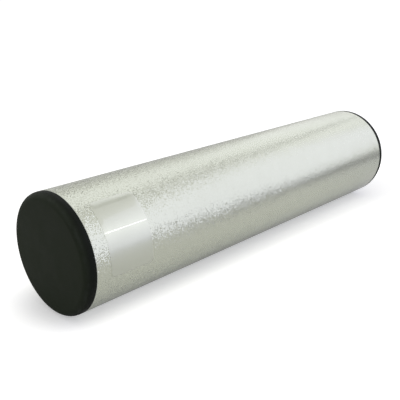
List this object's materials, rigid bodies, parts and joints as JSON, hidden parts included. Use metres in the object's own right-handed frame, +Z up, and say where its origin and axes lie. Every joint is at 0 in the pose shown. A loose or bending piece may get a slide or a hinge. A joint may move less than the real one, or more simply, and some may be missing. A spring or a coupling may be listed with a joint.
{
  "type": "ganza shaker",
  "caption": "Straight metal tube with a moulded cap pressed into each end and loose steel shot inside, which sounds when it is shaken.",
  "frame": {"origin": "under the middle of the tube, on the surface that it lies on", "axes": "+X along the tube from the front cap, beside the label, to the rear cap; +Z up; the label faces -Y"},
  "size_m": [0.214, 0.0502, 0.05],
  "materials": {
    "tube_metal": "fine pebbled silver, clear lacquered",
    "cap_plastic": "matte moulded black",
    "label_foil": "smooth silver foil under clear gloss film",
    "shot_steel": "plain steel shot"
  },
  "bodies": {
    "shell": {"tube": "tube_metal", "front_cap": "cap_plastic", "rear_cap": "cap_plastic", "foil_label": "label_foil"},
    "shot_row_wall_5": {"shot_row_wall_5": "shot_steel"},
    "shot_row_wall_1": {"shot_row_wall_1": "shot_steel"},
    "shot_row_wall_2": {"shot_row_wall_2": "shot_steel"},
    "shot_row_wall_3": {"shot_row_wall_3": "shot_steel"},
    "shot_row_wall_4": {"shot_row_wall_4": "shot_steel"},
    "shot_row_wall_6": {"shot_row_wall_6": "shot_steel"},
    "shot_row_wall_7": {"shot_row_wall_7": "shot_steel"},
    "shot_row_wall_8": {"shot_row_wall_8": "shot_steel"},
    "shot_row_wall_9": {"shot_row_wall_9": "shot_steel"},
    "shot_row_middle_1": {"shot_row_middle_1": "shot_steel"},
    "shot_row_middle_2": {"shot_row_middle_2": "shot_steel"},
    "shot_row_middle_3": {"shot_row_middle_3": "shot_steel"},
    "shot_row_middle_4": {"shot_row_middle_4": "shot_steel"},
    "shot_row_middle_5": {"shot_row_middle_5": "shot_steel"},
    "shot_row_middle_6": {"shot_row_middle_6": "shot_steel"},
    "shot_row_top_1": {"shot_row_top_1": "shot_steel"},
    "shot_row_top_2": {"shot_row_top_2": "shot_steel"},
    "shot_row_top_3": {"shot_row_top_3": "shot_steel"}
  },
  "joints": [
    {"name": "shot_roll", "type": "hinge", "parent": "shell", "child": "shot_row_wall_5", "pos_m": [0, 0, 0.025], "axis": [1, 0, 0], "continuous": true},
    {"name": "wall_1_slide", "type": "slide", "parent": "shot_row_wall_5", "child": "shot_row_wall_1", "axis": [1, 0, 0], "range_m": [-0.0355, 0.0355]},
    {"name": "wall_2_slide", "type": "slide", "parent": "shot_row_wall_5", "child": "shot_row_wall_2", "axis": [1, 0, 0], "range_m": [-0.0547, 0.0163]},
    {"name": "wall_3_slide", "type": "slide", "parent": "shot_row_wall_5", "child": "shot_row_wall_3", "axis": [1, 0, 0], "range_m": [-0.0067, 0.0643]},
    {"name": "wall_4_slide", "type": "slide", "parent": "shot_row_wall_5", "child": "shot_row_wall_4", "axis": [1, 0, 0], "range_m": [-0.0547, 0.0163]},
    {"name": "wall_6_slide", "type": "slide", "parent": "shot_row_wall_5", "child": "shot_row_wall_6", "axis": [1, 0, 0], "range_m": [-0.0211, 0.0499]},
    {"name": "wall_7_slide", "type": "slide", "parent": "shot_row_wall_5", "child": "shot_row_wall_7", "axis": [1, 0, 0], "range_m": [-0.0595, 0.0115]},
    {"name": "wall_8_slide", "type": "slide", "parent": "shot_row_wall_5", "child": "shot_row_wall_8", "axis": [1, 0, 0], "range_m": [-0.0115, 0.0595]},
    {"name": "wall_9_slide", "type": "slide", "parent": "shot_row_wall_5", "child": "shot_row_wall_9", "axis": [1, 0, 0], "range_m": [-0.0451, 0.0259]},
    {"name": "middle_1_slide", "type": "slide", "parent": "shot_row_wall_5", "child": "shot_row_middle_1", "axis": [1, 0, 0], "range_m": [-0.066, 0.0468]},
    {"name": "middle_2_slide", "type": "slide", "parent": "shot_row_wall_5", "child": "shot_row_middle_2", "axis": [1, 0, 0], "range_m": [-0.0276, 0.0852]},
    {"name": "middle_3_slide", "type": "slide", "parent": "shot_row_wall_5", "child": "shot_row_middle_3", "axis": [1, 0, 0], "range_m": [-0.0852, 0.0276]},
    {"name": "middle_4_slide", "type": "slide", "parent": "shot_row_wall_5", "child": "shot_row_middle_4", "axis": [1, 0, 0], "range_m": [-0.042, 0.0708]},
    {"name": "middle_5_slide", "type": "slide", "parent": "shot_row_wall_5", "child": "shot_row_middle_5", "axis": [1, 0, 0], "range_m": [-0.0516, 0.0612]},
    {"name": "middle_6_slide", "type": "slide", "parent": "shot_row_wall_5", "child": "shot_row_middle_6", "axis": [1, 0, 0], "range_m": [-0.0804, 0.0324]},
    {"name": "top_1_slide", "type": "slide", "parent": "shot_row_wall_5", "child": "shot_row_top_1", "axis": [1, 0, 0], "range_m": [-0.0276, 0.0996]},
    {"name": "top_2_slide", "type": "slide", "parent": "shot_row_wall_5", "child": "shot_row_top_2", "axis": [1, 0, 0], "range_m": [-0.0852, 0.042]},
    {"name": "top_3_slide", "type": "slide", "parent": "shot_row_wall_5", "child": "shot_row_top_3", "axis": [1, 0, 0], "range_m": [-0.066, 0.0612]}
  ]
}
